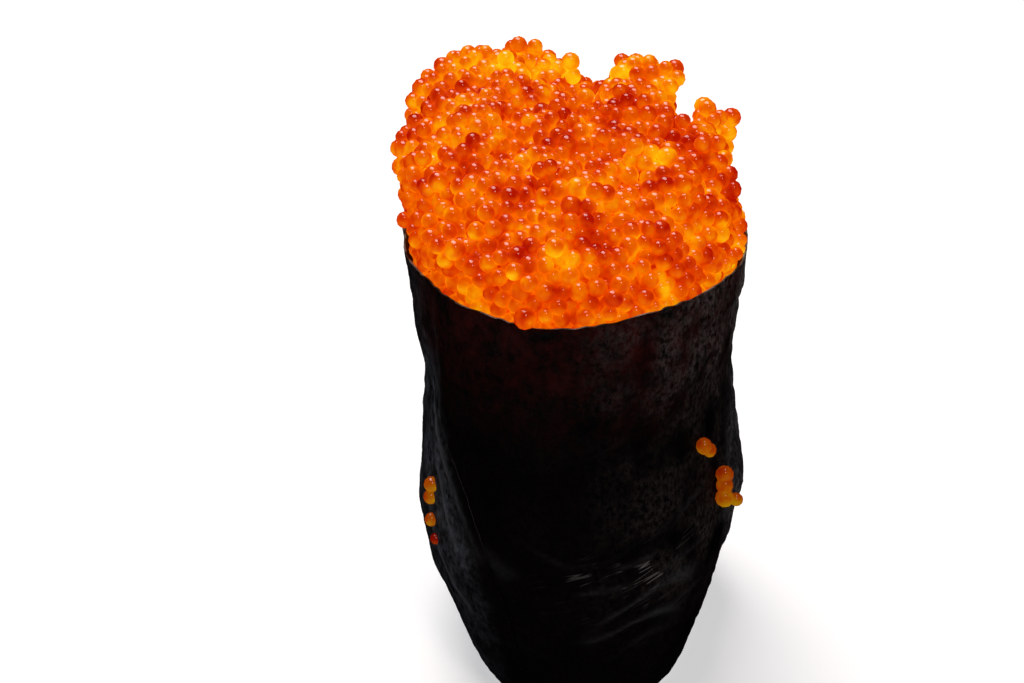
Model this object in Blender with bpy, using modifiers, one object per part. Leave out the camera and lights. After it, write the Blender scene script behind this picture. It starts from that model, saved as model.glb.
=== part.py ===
# Gunkan sushi: an oval base of pressed rice, a strip of seaweed wrapped round it
# as a tall band, and a heap of flying fish roe that fills the band and rises above it.
# Units are metres, +Z is up, and the origin is the middle of the underside.
# The long way of the oval lies along Y, and the low end of the heap faces -Y.
import math

import bpy
from mathutils import Vector, noise

# The wrapped body
BODY_HALF_WIDTH = 0.0138      # half of the oval across X, before the bulges and the flared lip
BODY_HALF_LENGTH = 0.0205     # half of the oval along Y
RIM_HEIGHT = 0.0380           # top edge of the seaweed
BASE_TAPER = 0.0036           # how far the foot draws in below the full oval
TAPER_HEIGHT = 0.0140         # the drawing in ends at this height
TAPER_POWER = 1.5             # above 1 the foot turns in faster towards the bottom
TAPER_LEAN = 0.08             # the -X side draws in more by this share, the +X side less
WAIST_INSET = 0.0007          # shallow waist below the rim
WAIST_HEIGHT = 0.0265
WAIST_SPREAD = 0.0070
LIP_FLARE = 0.0002            # the top of the -X wall leans out
LIP_HEIGHT = 0.0045
CORNER_FLARE = 0.0012         # and its rear corner leans out further, pushed by the heap
CORNER_TURN = math.radians(148)
CORNER_SPREAD = math.radians(40)
CORNER_FOOT = 0.0260          # the corner leans out from this height up to the rim
BELLY_BULGE = 0.0011          # the rear half swells on both flanks
BELLY_UNEVEN = 0.0003         # a little more on the +X flank, less on the other
BELLY_HEIGHT = 0.0116
BELLY_SPREAD = 0.0068

# The seaweed strip
SHEET_THICKNESS = 0.0003
SHEET_FOOT = 0.0004           # the strip's lower edge stays clear of the underside
LAP_GAP = 0.00015             # space between the two layers of the lap
LAP_TURN = math.radians(42)   # how much of the turn is covered twice
LAP_RAMP = math.radians(70)   # the sheet climbs over its own start along this turn
SEAM_TURN = math.radians(184) # where the outer end of the strip stops, at the rim
SEAM_DRIFT = math.radians(64) # the free end slants forward towards the foot
SEAM_DRIFT_HEIGHT = 0.0388    # the slant starts at this height
SEAM_DRIFT_DEPTH = 0.0278     # and ends this far below it
LAP_LIFT = 0.0002             # the free end stands off a little where it slants
RIM_WAVE = 0.00035            # the cut top edge isn't quite level
SHEET_COLUMNS = 96
SHEET_ROWS = 12

# The rice
CLEARANCE = 0.0003            # gap between neighbouring pieces
RICE_TOP = 0.0290
RICE_EDGE = 0.0012            # rounded edge of the underside
RICE_COLUMNS = 48
RICE_ROWS = 10
RICE_UNEVEN = 0.0004

# The roe
ROE_COLUMNS = 64
PLUG_ROWS = 3                 # from the rice up to the rim, inside the band
MOUND_ROWS = 16               # from the rim up to the crown
MOUND_FOOT = 0.0387           # the heap overhangs the rim from this height
MOUND_BACK_RISE = 0.115       # the crown climbs this much for each metre towards +Y
MOUND_HEIGHT = 0.0108         # height of the crown over MOUND_FOOT at the middle
MOUND_LEAN = -0.0004          # the heap sits this far towards -X
MOUND_LEAN_HEIGHT = 0.0020    # the lean is full at this height over MOUND_FOOT
FRONT_POWER = 2.1             # 2 makes the slope at the low end a round quarter arc
FLANK_POWER = 3.0             # squareness of the steep flanks and rear
SHOULDER_POWER = 2.2          # the -X flank is squarer by this much
ROE_LUMP_SIZE = 0.0034        # size of the lumps in the heap's outline
ROE_LUMP_HEIGHT = 0.0011

# Humps and hollows of the crown: x, y, spread across X, spread along Y, and height
CROWN_SHAPES = (
    (-0.0058, 0.0090, 0.0044, 0.0060, 0.0008),    # high hump towards -X
    (0.0066, 0.0095, 0.0034, 0.0060, 0.0006),     # second hump towards +X
    (0.0026, 0.0110, 0.0022, 0.0085, -0.0042),    # trough between the two humps
    (0.0112, 0.0090, 0.0012, 0.0080, -0.0042),    # narrow notch beside the second hump
)

# Swellings of the heap's side: x, y, z, spread and how far each stands out
FLANK_SHAPES = (
    (-0.0146, 0.0030, 0.0450, 0.0040, 0.0012),    # overhangs the rim on the -X side
    (-0.0120, 0.0080, 0.0500, 0.0034, 0.0014),    # lump on the -X shoulder
    (0.0135, 0.0050, 0.0460, 0.0026, 0.0012),     # lump on the +X edge
    (0.0138, 0.0030, 0.0432, 0.0016, -0.0008),    # hollow below that lump
)


def smoothStep(value):
    """0 below 0, 1 above 1, and an S curve between."""
    value = min(max(value, 0.0), 1.0)
    return value * value * (3.0 - 2.0 * value)


def bell(distance, spread):
    return math.exp(-(distance / spread) ** 2)


def cornerFlare(turn):
    """How far the rim leans out round the rear -X corner, as a bell round the oval."""
    return CORNER_FLARE * math.exp(2.0 * (math.cos(turn - CORNER_TURN) - 1.0) / CORNER_SPREAD ** 2)


def bodyInset(turn, height):
    """How far the wall stands in from the full oval at this turn and height."""
    taper = BASE_TAPER * max(1.0 - height / TAPER_HEIGHT, 0.0) ** TAPER_POWER
    taper *= 1.0 - TAPER_LEAN * math.cos(turn)
    waist = WAIST_INSET * bell(height - WAIST_HEIGHT, WAIST_SPREAD)
    flank = abs(math.cos(turn)) ** 1.5 * smoothStep(0.5 + 2.0 * math.sin(turn))
    swell = BELLY_BULGE + BELLY_UNEVEN * math.cos(turn)
    belly = swell * flank * bell(height - BELLY_HEIGHT, BELLY_SPREAD)
    lip = LIP_FLARE * max(-math.cos(turn), 0.0) ** 2
    lip *= smoothStep(1.0 - (RIM_HEIGHT - height) / LIP_HEIGHT)
    corner = cornerFlare(turn) * smoothStep((height - CORNER_FOOT) / (RIM_HEIGHT - CORNER_FOOT))
    return taper + waist - belly - lip - corner


def ovalPoint(turn, height, inset):
    """Point of the oval at this turn, moved in along the oval's own normal."""
    x = BODY_HALF_WIDTH * math.cos(turn)
    y = BODY_HALF_LENGTH * math.sin(turn)
    normal = Vector((x / BODY_HALF_WIDTH ** 2, y / BODY_HALF_LENGTH ** 2, 0.0)).normalized()
    return Vector((x, y, height)) - normal * inset


def seamTurn(height):
    """Turn at which the free end of the strip stops, slanting forward near the foot."""
    slant = smoothStep((SEAM_DRIFT_HEIGHT - height) / SEAM_DRIFT_DEPTH)
    return SEAM_TURN + SEAM_DRIFT * slant


def sheetPoint(along, up):
    """Outer face of the strip; along runs from its hidden start to its free end."""
    height = SHEET_FOOT + (RIM_HEIGHT - SHEET_FOOT) * up
    start = SEAM_TURN - LAP_TURN
    turn = start + along * (2.0 * math.pi + seamTurn(height) - start)
    climb = (turn - start - 2.0 * math.pi + LAP_RAMP) / LAP_RAMP
    lap = (SHEET_THICKNESS + LAP_GAP) * smoothStep(climb)
    beyondStart = (turn - start - 2.0 * math.pi) / LAP_TURN
    lift = LAP_LIFT * smoothStep(beyondStart) * bell(height - BELLY_HEIGHT, BELLY_SPREAD)
    wave = RIM_WAVE * up ** 4 * math.sin(3.0 * turn + 0.8) * math.cos(2.0 * turn)
    point = ovalPoint(turn, height, bodyInset(turn, height) - lap - lift)
    point.z += wave
    return point


def ricePoint(turn, height, edgeInset):
    """Side of the rice, just inside the strip, a little uneven."""
    uneven = RICE_UNEVEN * (0.5 + 0.5 * math.sin(5.0 * turn + 220.0 * height))
    inset = bodyInset(turn, max(height, SHEET_FOOT)) + SHEET_THICKNESS + CLEARANCE
    return ovalPoint(turn, height, inset + uneven + edgeInset)


def crownHeight(x, y):
    """Height of the heap's crown over its foot, with its humps and hollows."""
    crown = MOUND_HEIGHT + MOUND_BACK_RISE * y
    for shapeX, shapeY, spreadX, spreadY, height in CROWN_SHAPES:
        crown += height * bell(x - shapeX, spreadX) * bell(y - shapeY, spreadY)
    return crown


def moundPoint(turn, climb):
    """Surface of the heap above the rim; climb runs from 0 at its foot to 1 at the crown."""
    front = smoothStep(-math.sin(turn) * 1.6 - 0.2)
    flankPower = FLANK_POWER + SHOULDER_POWER * max(-math.cos(turn), 0.0)
    power = flankPower + (FRONT_POWER - flankPower) * front
    angle = climb * math.pi / 2.0
    spread = math.cos(angle) ** (2.0 / power)
    rise = math.sin(angle) ** (2.0 / power)
    edge = ovalPoint(turn, 0.0, -cornerFlare(turn) * (1.0 - climb) ** 6)
    x = edge.x * spread
    y = edge.y * spread
    point = Vector((x, y, MOUND_FOOT + crownHeight(x, y) * rise))
    outward = Vector((math.cos(turn) * spread, math.sin(turn) * spread, rise)).normalized()
    stand = ROE_LUMP_HEIGHT * noise.noise(point / ROE_LUMP_SIZE) * smoothStep(climb * 8.0)
    for shapeX, shapeY, shapeZ, size, height in FLANK_SHAPES:
        stand += height * bell((point - Vector((shapeX, shapeY, shapeZ))).length, size)
    lean = MOUND_LEAN * smoothStep((point.z - MOUND_FOOT) / MOUND_LEAN_HEIGHT)
    return point + outward * stand + Vector((lean, 0.0, 0.0))


def plugPoint(turn, up):
    """Side of the roe inside the band, from the rice up to the rim."""
    foot = RICE_TOP + CLEARANCE
    height = foot + (MOUND_FOOT - foot) * up
    wallHeight = min(height, RIM_HEIGHT)
    inset = bodyInset(turn, wallHeight) + SHEET_THICKNESS + CLEARANCE
    return ovalPoint(turn, height, inset)


def ring(columns, pointAt):
    """One closed ring of points, pointAt giving the point for each turn."""
    return [pointAt(2.0 * math.pi * column / columns) for column in range(columns)]


def meshObject(name, points, faces, material, collection):
    mesh = bpy.data.meshes.new(name)
    mesh.from_pydata(points, [], faces)
    mesh.validate()
    mesh.shade_smooth()
    mesh.set_sharp_from_angle(angle=math.radians(40))
    mesh.materials.append(material)
    shape = bpy.data.objects.new(name, mesh)
    collection.objects.link(shape)
    return shape


def loftRings(rings):
    """Points and outward faces of rings stacked upwards, with a flat face at each end."""
    columns = len(rings[0])
    points = [point for one in rings for point in one]
    faces = [tuple(reversed(range(columns)))]
    for row in range(len(rings) - 1):
        for column in range(columns):
            beside = (column + 1) % columns
            low = row * columns
            high = low + columns
            faces.append((low + column, low + beside, high + beside, high + column))
    last = (len(rings) - 1) * columns
    faces.append(tuple(range(last, last + columns)))
    return points, faces


def makeNori(collection):
    """The wrapped strip: an open sheet with Solidify, lapping over its own start."""
    points = []
    for row in range(SHEET_ROWS + 1):
        for column in range(SHEET_COLUMNS + 1):
            points.append(sheetPoint(column / SHEET_COLUMNS, row / SHEET_ROWS))
    faces = []
    width = SHEET_COLUMNS + 1
    for row in range(SHEET_ROWS):
        for column in range(SHEET_COLUMNS):
            corner = row * width + column
            faces.append((corner, corner + 1, corner + width + 1, corner + width))
    material = makeMaterial("nori", (0.012, 0.010, 0.010), 0.35)
    nori = meshObject("nori_band", points, faces, material, collection)
    solidify = nori.modifiers.new("thickness", "SOLIDIFY")
    solidify.thickness = SHEET_THICKNESS
    solidify.offset = -1.0
    solidify.use_even_offset = True
    return nori


def makeRice(collection):
    """The pressed rice: a loft from a flat underside with a rounded edge to a flat top."""
    rings = []
    edgeSteps = 3
    for step in range(edgeSteps):
        angle = math.pi / 2.0 * step / edgeSteps
        edgeInset = RICE_EDGE * (1.0 - math.sin(angle))
        edgeHeight = RICE_EDGE * (1.0 - math.cos(angle))
        rings.append(ring(RICE_COLUMNS, lambda turn: ricePoint(turn, edgeHeight, edgeInset)))
    for row in range(RICE_ROWS + 1):
        height = RICE_EDGE + (RICE_TOP - RICE_EDGE) * row / RICE_ROWS
        rings.append(ring(RICE_COLUMNS, lambda turn: ricePoint(turn, height, 0.0)))
    points, faces = loftRings(rings)
    material = makeMaterial("rice", (0.86, 0.84, 0.77), 0.45)
    return meshObject("rice_core", points, faces, material, collection)


def makeRoe(collection):
    """The heap: a plug inside the band, and an uneven mound that overhangs the rim."""
    rings = []
    for row in range(PLUG_ROWS + 1):
        rings.append(ring(ROE_COLUMNS, lambda turn: plugPoint(turn, row / PLUG_ROWS)))
    for row in range(MOUND_ROWS):
        rings.append(ring(ROE_COLUMNS, lambda turn: moundPoint(turn, row / MOUND_ROWS)))
    points, faces = loftRings(rings)
    faces.pop()
    crown = len(points)
    points.append(moundPoint(0.0, 1.0))
    last = crown - ROE_COLUMNS
    for column in range(ROE_COLUMNS):
        faces.append((last + column, last + (column + 1) % ROE_COLUMNS, crown))
    material = makeMaterial("roe", (0.90, 0.22, 0.02), 0.2)
    return meshObject("roe_heap", points, faces, material, collection)


def makeMaterial(name, colour, roughness):
    material = bpy.data.materials.new(name)
    material.use_nodes = True
    shader = material.node_tree.nodes["Principled BSDF"]
    shader.inputs["Base Color"].default_value = (*colour, 1.0)
    shader.inputs["Roughness"].default_value = roughness
    shader.inputs["Metallic"].default_value = 0.0
    return material


def main():
    for old in list(bpy.data.objects):
        bpy.data.objects.remove(old, do_unlink=True)
    collection = bpy.data.collections.new("gunkan_sushi")
    bpy.context.scene.collection.children.link(collection)
    makeRice(collection)
    makeNori(collection)
    makeRoe(collection)


main()
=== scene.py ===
# Gunkan sushi with flying fish roe: the looks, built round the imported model.
# Metres, +Z up. The low end of the heap faces -Y, towards the camera.
import math

import bmesh
import bpy
import numpy as np
from mathutils import Matrix, Vector


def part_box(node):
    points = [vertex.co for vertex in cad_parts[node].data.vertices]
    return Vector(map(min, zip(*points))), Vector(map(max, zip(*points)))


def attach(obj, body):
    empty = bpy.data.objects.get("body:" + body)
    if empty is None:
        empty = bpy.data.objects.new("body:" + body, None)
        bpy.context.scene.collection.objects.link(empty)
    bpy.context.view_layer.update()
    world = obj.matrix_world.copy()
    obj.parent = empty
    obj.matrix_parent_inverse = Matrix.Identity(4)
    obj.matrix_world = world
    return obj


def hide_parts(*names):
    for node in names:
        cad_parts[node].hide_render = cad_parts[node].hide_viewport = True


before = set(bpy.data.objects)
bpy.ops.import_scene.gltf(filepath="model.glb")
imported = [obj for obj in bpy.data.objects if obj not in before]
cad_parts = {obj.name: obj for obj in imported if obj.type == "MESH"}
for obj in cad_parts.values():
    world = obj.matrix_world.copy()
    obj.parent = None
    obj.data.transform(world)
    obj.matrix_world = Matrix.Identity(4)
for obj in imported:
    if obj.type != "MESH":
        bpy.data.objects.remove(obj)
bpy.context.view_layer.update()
noriLow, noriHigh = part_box("nori_band")
riceLow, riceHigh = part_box("rice_core")

# The oval body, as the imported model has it: inset of the wall against height and turn
body = {
    "halfWidth": 0.0138,
    "halfLength": 0.0205,
    "rim": noriHigh.z - 0.00035,
    "taper": 0.0036, "taperHeight": 0.0140, "taperPower": 1.5, "taperLean": 0.08,
    "waist": 0.0007, "waistHeight": 0.0265, "waistSpread": 0.0070,
    "flare": 0.0002, "flareHeight": 0.0045,
    "corner": 0.0012, "cornerTurn": 148.0, "cornerSpread": 40.0, "cornerFoot": 0.0260,
    "belly": 0.0011, "bellyUneven": 0.0003, "bellyHeight": 0.0116, "bellySpread": 0.0068,
    "bellyRound": 1.5,
    # both flanks turn in sharply at this height
    "tuck": 0.00045, "tuckHeight": 0.0110, "tuckLean": 0.0015, "tuckEdge": 0.0014,
}

# The heap above the rim
heap = {
    "foot": 0.0387,
    "height": 0.0106,
    "backRise": 0.115,
    "frontPower": 2.1, "flankPower": 3.0, "shoulderPower": 2.2,
    "roundEnd": (1.6, 0.2),                   # how quickly the slope gets round, and from where
    # x, y, spread across X, spread along Y, height
    "crown": [
        (-0.0078, 0.0090, 0.0040, 0.0060, 0.0009),    # high hump towards -X
        (-0.0054, 0.0090, 0.0013, 0.0040, 0.0005),    # and its tip
        (-0.0034, 0.0090, 0.0012, 0.0050, -0.0015),
        (0.0054, 0.0095, 0.0033, 0.0060, 0.0015),     # second hump towards +X
        (0.0008, 0.0110, 0.0030, 0.0085, -0.0044),    # trough between them
        (0.0095, 0.0090, 0.0014, 0.0080, -0.0056),    # notch beside the second hump
        (0.0116, 0.0085, 0.0017, 0.0060, 0.0014),     # small lump on the +X edge
    ],
    # x, y, z, spread, how far it stands out
    "flank": [
        (-0.0146, 0.0020, 0.0436, 0.0030, 0.0017),
        (-0.0128, 0.0080, 0.0486, 0.0034, 0.0023),
        (0.0142, 0.0040, 0.0440, 0.0026, -0.0012),
        (0.0142, -0.0022, 0.0436, 0.0022, -0.0012),
        (0.0140, -0.0015, 0.0392, 0.0034, 0.0007),    # hangs over the rim on the +X side
    ],
    "flankEdge": 0.0010,                      # these come in over this height above the rim
    "spill": 0.0040,                          # the band's lean carries on this far above the rim
    "wallGap": 0.00034,                       # eggs stay this far inside the band's outer face
    "lean": -0.0006, "leanHeight": 0.0020,    # the heap sits a little towards -X
    "lumpSize": 0.0050, "lumpHeight": 0.0006, "lumpSeed": 5, "lumpEdge": 0.003,
    "probe": 0.0001,                          # step for measuring how steep the field is
}

# The eggs
eggs = {
    "seed": 11,
    "radius": 0.00072, "radiusSpread": 0.10, "smallest": 0.00056, "largest": 0.00096,
    "layers": 0.0034,        # depth of the coat of eggs over the core
    "core": 0.0021,          # how far the core lies below the surface
    # the starting lattice: spacing, unevenness, and its corners, the low one measured from the rim
    "pitch": 0.00125, "jitter": 0.18,
    "latticeLow": (-0.018, -0.023, -0.0020), "latticeHigh": (0.018, 0.024, 0.055),
    "press": 0.86,           # touching eggs come this share of their radii together
    "settleSteps": 40, "push": 0.4, "recount": 8, "settleReach": 2.6,
    "lowest": 0.0022,        # eggs sink no further than this below the rim
    "pits": 0.10, "outer": 1.5,    # share of the outermost eggs that are missing
    # eggs lying on top of the others: most that are placed, places tried and the box they are in
    "perched": 240, "tries": 60000,
    "perchLow": (-0.017, -0.022, 0.001), "perchHigh": (0.017, 0.023, 0.055),
    "sunk": (0.25, 0.85),    # how deep their centres lie at least and at most, in radii
    "cut": 0.00034, "touch": 0.00002, "beside": 0.0002,    # and how far from the nearest eggs
    "edges": (-0.0138, 0.0124),    # none of them is further out than this
    "overhang": 0.0050,      # below this height over the rim none of them sticks out
    # places tried along the inside of the rim, to close the row there
    "rimRow": 180, "rimRise": (-0.0001, 0.0007), "rimSizes": (0.80, 1.05), "rimPress": 0.75,
    "overRim": (0.0, 26.0, 0.0002, 0.0005),    # and lying over it here: turn, spread, out and up
    "squash": 0.035,
    # x, y, z, spread and amount: thin places where a warmer painted glow stands for the light coming
    # through, and deeper ones
    "places": [
        (0.0124, 0.0085, 0.0480, 0.0030, 0.34), (-0.0005, 0.0120, 0.0480, 0.0024, 0.26),
        (-0.0146, 0.0030, 0.0440, 0.0026, 0.22), (-0.0070, 0.0090, 0.0510, 0.0060, 0.20),
        (-0.0130, -0.0020, 0.0405, 0.0034, -0.30), (0.0058, 0.0095, 0.0505, 0.0030, 0.24),
        (-0.0020, 0.0100, 0.0520, 0.0090, 0.10), (0.0010, 0.0000, 0.0470, 0.0060, -0.12),
        (0.0064, -0.0040, 0.0465, 0.0022, -0.30), (-0.0050, -0.0190, 0.0385, 0.0050, -0.08),
        (0.0058, 0.0080, 0.0480, 0.0046, 0.36), (-0.0118, -0.0060, 0.0405, 0.0036, -0.22),
        (-0.0085, 0.0070, 0.0480, 0.0060, 0.08),
    ],
    # how much the colour varies egg by egg and in patches, and how far touching eggs melt together
    "oneByOne": 0.09, "patches": 0.26, "patchSize": 0.0048, "patchSeed": 21,
    "melt": 0.00046, "meltReach": 2.9,
    # the way the light runs through an egg, where its painted glow starts to gather, and its share of
    # the colour
    "lightRuns": (0.06, -0.70, -0.71), "gathers": (0.05, 0.85), "tintShare": 0.66, "glowShare": 0.32,
    "redBelow": 0.36, "amberAbove": 0.68,
    # turn in degrees, height, radius, distance out from the wall, and warmth of colour
    "rimEggs": [
        (-103.0, 0.0384, 0.00086, 0.00010, 0.30),     # hangs over the rim at the low end
        (-97.0, 0.0386, 0.00060, -0.00030, 0.95),
        (-31.0, 0.0390, 0.00110, -0.00110, 0.25),     # a large one just inside the rim
    ],
    # x, y, z, radius and warmth of single eggs that make the heap's outline uneven
    "singles": [
        (-0.0010, 0.0100, 0.0494, 0.00080, 0.95), (-0.0008, 0.0098, 0.0482, 0.00074, 1.00),
        (0.0080, 0.0095, 0.0489, 0.00080, 0.40), (-0.0054, 0.0090, 0.0512, 0.00070, 0.60),
        (0.0129, 0.0085, 0.0449, 0.00085, 0.80), (0.0126, 0.0083, 0.0436, 0.00085, 0.65),
        (0.0124, 0.0080, 0.0424, 0.00080, 0.75), (0.0105, 0.0085, 0.0459, 0.00085, 0.80),
        (-0.0133, 0.0060, 0.0478, 0.00070, 0.80), (-0.0131, 0.0064, 0.0466, 0.00070, 0.60),
    ],
    "strayGlow": 0.30,       # painted shade: eggs away from the heap get a dimmer painted glow
    "stray": [
        (-40.3, 0.0244, 0.00070, 0.00058, 0.60),      # a touching pair on the +X wall
        (-37.2, 0.0236, 0.00058, 0.00056, 0.65),
        (-29.0, 0.0201, 0.00078, 0.00062, 0.45),      # more of them, one above the other
        (-29.6, 0.0192, 0.00074, 0.00064, 0.55),
        (-30.5, 0.0182, 0.00080, 0.00072, 0.62),
        (-20.0, 0.0161, 0.00060, 0.00070, 0.80),
        (-147.8, 0.0192, 0.00070, 0.00040, 0.80),     # a line of them on the -X wall
        (-148.6, 0.0179, 0.00066, 0.00040, 0.90),
        (-148.6, 0.0157, 0.00062, 0.00034, 0.55),
        (-146.0, 0.0143, 0.00052, 0.00024, 0.05),
        (64.0, 0.0262, 0.00070, 0.00058, 0.55),       # and a few round the back
        (133.0, 0.0205, 0.00066, 0.00056, 0.65),
        (129.5, 0.0194, 0.00060, 0.00052, 0.40),
    ],
}


def smoothStep(value):
    # 0 below 0, 1 above 1, an S curve between
    value = np.clip(value, 0.0, 1.0)
    return value * value * (3.0 - 2.0 * value)


def bell(distance, spread):
    # 1 at the middle, falling off as e to the minus (distance / spread) squared
    return np.exp(-(distance / spread) ** 2)


def turnBell(turn, centre, spread):
    # a bell round the oval, centre and spread in degrees: e to the minus (angle / spread) squared,
    # closed into a ring
    return np.exp(2.0 * (np.cos(turn - math.radians(centre)) - 1.0) / math.radians(spread) ** 2)


def sineWaves(points, size, seed, count=9):
    # sum of sine waves running in seeded directions, each about size long, scaled to about -1..1
    rng = np.random.default_rng(seed)
    directions = rng.normal(size=(count, 3))
    directions /= np.linalg.norm(directions, axis=1)[:, None]
    lengths = size * rng.uniform(0.7, 1.5, count)
    phases = rng.uniform(0.0, 2.0 * np.pi, count)
    waves = np.sin(points @ (directions / lengths[:, None]).T * 2.0 * np.pi + phases)
    return waves.sum(axis=1) / math.sqrt(count)


def wallInset(turn, height):
    # how far the wall stands in from the oval: taper at the foot, waist, rear belly and flared lip
    b = body
    taper = b["taper"] * np.maximum(1.0 - height / b["taperHeight"], 0.0) ** b["taperPower"]
    taper = taper * (1.0 - b["taperLean"] * np.cos(turn))
    waist = b["waist"] * bell(height - b["waistHeight"], b["waistSpread"])
    flank = np.abs(np.cos(turn)) ** b["bellyRound"] * smoothStep(0.5 + 2.0 * np.sin(turn))
    belly = (b["belly"] + b["bellyUneven"] * np.cos(turn)) * flank
    belly = belly * bell(height - b["bellyHeight"], b["bellySpread"])
    lip = b["flare"] * np.maximum(-np.cos(turn), 0.0) ** 2
    lip = lip * smoothStep(1.0 - (b["rim"] - height) / b["flareHeight"])
    corner = b["corner"] * turnBell(turn, b["cornerTurn"], b["cornerSpread"])
    corner = corner * smoothStep((height - b["cornerFoot"]) / (b["rim"] - b["cornerFoot"]))
    tuckHeight = b["tuckHeight"] + b["tuckLean"] * np.cos(turn)
    tuck = b["tuck"] * np.abs(np.cos(turn)) * smoothStep((tuckHeight - height) / b["tuckEdge"])
    return taper + waist - belly - lip - corner + tuck


def ovalPoint(turn, height, inset):
    # point of the oval at this turn, moved in along the oval's own normal
    x = body["halfWidth"] * np.cos(turn)
    y = body["halfLength"] * np.sin(turn)
    across = x / body["halfWidth"] ** 2
    ahead = y / body["halfLength"] ** 2
    size = np.hypot(across, ahead)
    return np.stack([x - inset * across / size, y - inset * ahead / size,
                     np.broadcast_to(height, np.shape(x))], axis=-1)


def crownHeight(x, y):
    # height of the crown over the heap's foot, with its humps and hollows
    crown = heap["height"] + heap["backRise"] * y
    for shapeX, shapeY, spreadX, spreadY, height in heap["crown"]:
        crown = crown + height * bell(x - shapeX, spreadX) * bell(y - shapeY, spreadY)
    return crown


def slopePower(turn):
    # squareness of the heap's slope: round at the low end, square on the flanks
    quick, begin = heap["roundEnd"]
    front = smoothStep(-np.sin(turn) * quick - begin)
    flank = heap["flankPower"] + heap["shoulderPower"] * np.maximum(-np.cos(turn), 0.0)
    return flank + (heap["frontPower"] - flank) * front


def heapField(points):
    # 0 on the smooth heap, negative inside: a power sum of the reach across and the rise up
    x, y, z = points.T
    turn = np.arctan2(y / body["halfLength"], x / body["halfWidth"])
    power = slopePower(turn)
    reach = np.hypot(x / body["halfWidth"], y / body["halfLength"])
    rise = np.maximum(z - heap["foot"], 0.0) / crownHeight(x, y)
    return (reach ** power + rise ** power) ** (1.0 / power) - 1.0


def heapDepth(points):
    # depth below the heap's surface, and the outward direction: the field over its own slope
    step = heap["probe"]
    lean = heap["lean"] * smoothStep((points[:, 2] - heap["foot"]) / heap["leanHeight"])
    points = points - lean[:, None] * (1.0, 0.0, 0.0)
    value = heapField(points)
    slope = np.stack([(heapField(points + offset) - value) / step
                      for offset in np.eye(3) * step], axis=1)
    steepness = np.linalg.norm(slope, axis=1) + 1e-9
    depth = -value / steepness
    height = points[:, 2]
    above = smoothStep((height - body["rim"]) / heap["flankEdge"])
    for x, y, z, spread, out in heap["flank"]:
        depth = depth + above * out * bell(np.linalg.norm(points - (x, y, z), axis=1), spread)
    above = smoothStep((height - heap["foot"]) / heap["lumpEdge"])
    depth = depth + above * heap["lumpHeight"] * sineWaves(points, heap["lumpSize"], heap["lumpSeed"])
    turn = np.arctan2(points[:, 1] / body["halfLength"], points[:, 0] / body["halfWidth"])
    wall = wallInset(turn, np.minimum(height, body["rim"])) + heap["wallGap"]
    depth = depth - wall * smoothStep(1.0 - (height - body["rim"]) / heap["spill"])
    return depth, slope / steepness[:, None]


def closePacked(pitch, low, high):
    # a hexagonal close-packed lattice of points between two corners
    counts = np.ceil((np.array(high) - low) / (pitch * np.array([1.0, 0.866, 0.816]))).astype(int) + 1
    i, j, k = (grid.ravel() for grid in np.meshgrid(*[np.arange(n) for n in counts], indexing="ij"))
    x = i + 0.5 * ((j + k) % 2)
    y = 0.866 * (j + (k % 2) / 3.0)
    z = 0.816 * k
    return np.stack([x, y, z], axis=1) * pitch + low


def neighbours(centres, reach):
    # every pair of centres closer than reach, each pair once
    pairs = []
    block = 400
    for start in range(0, len(centres), block):
        gap = centres[start:start + block, None, :] - centres[None, :, :]
        first, second = np.nonzero((gap ** 2).sum(axis=2) < reach ** 2)
        first = first + start
        keep = first < second
        pairs.append(np.stack([first[keep], second[keep]], axis=1))
    return np.concatenate(pairs)


def settle(centres, radii, steps):
    # eggs that overlap push each other apart, and all are kept between the surface and the core
    for step in range(steps):
        if step % eggs["recount"] == 0:
            pairs = neighbours(centres, eggs["settleReach"] * eggs["radius"])
        first, second = pairs.T
        gap = centres[first] - centres[second]
        distance = np.linalg.norm(gap, axis=1) + 1e-9
        overlap = np.maximum(eggs["press"] * (radii[first] + radii[second]) - distance, 0.0)
        push = gap * (eggs["push"] * overlap / distance)[:, None]
        np.add.at(centres, first, push)
        np.add.at(centres, second, -push)
        depth, outward = heapDepth(centres)
        tooShallow = np.maximum(radii - depth, 0.0)
        tooDeep = np.maximum(depth - eggs["layers"], 0.0)
        centres += outward * (tooDeep - tooShallow)[:, None]
        centres[:, 2] = np.maximum(centres[:, 2], body["rim"] - eggs["lowest"])
    return centres


def packEggs():
    # a jittered lattice cut to the coat, settled, with pits, then eggs perched on top
    rng = np.random.default_rng(eggs["seed"])
    low = np.array(eggs["latticeLow"]) + (0.0, 0.0, body["rim"])
    centres = closePacked(eggs["pitch"], low, np.array(eggs["latticeHigh"]))
    centres += rng.normal(size=centres.shape) * eggs["pitch"] * eggs["jitter"]
    depth = heapDepth(centres)[0]
    keep = (depth > eggs["radius"] * 0.7) & (depth < eggs["layers"])
    centres = centres[keep]
    radii = eggs["radius"] * (1.0 + eggs["radiusSpread"] * rng.normal(size=len(centres)))
    radii = np.clip(radii, eggs["smallest"], eggs["largest"])
    centres = settle(centres, radii, eggs["settleSteps"])
    depth = heapDepth(centres)[0]
    outer = depth < radii * eggs["outer"]
    keep = ~(outer & (rng.random(len(centres)) < eggs["pits"]))
    centres, radii = closeRim(centres[keep], radii[keep], rng)
    return perchEggs(centres, radii, rng)


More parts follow.
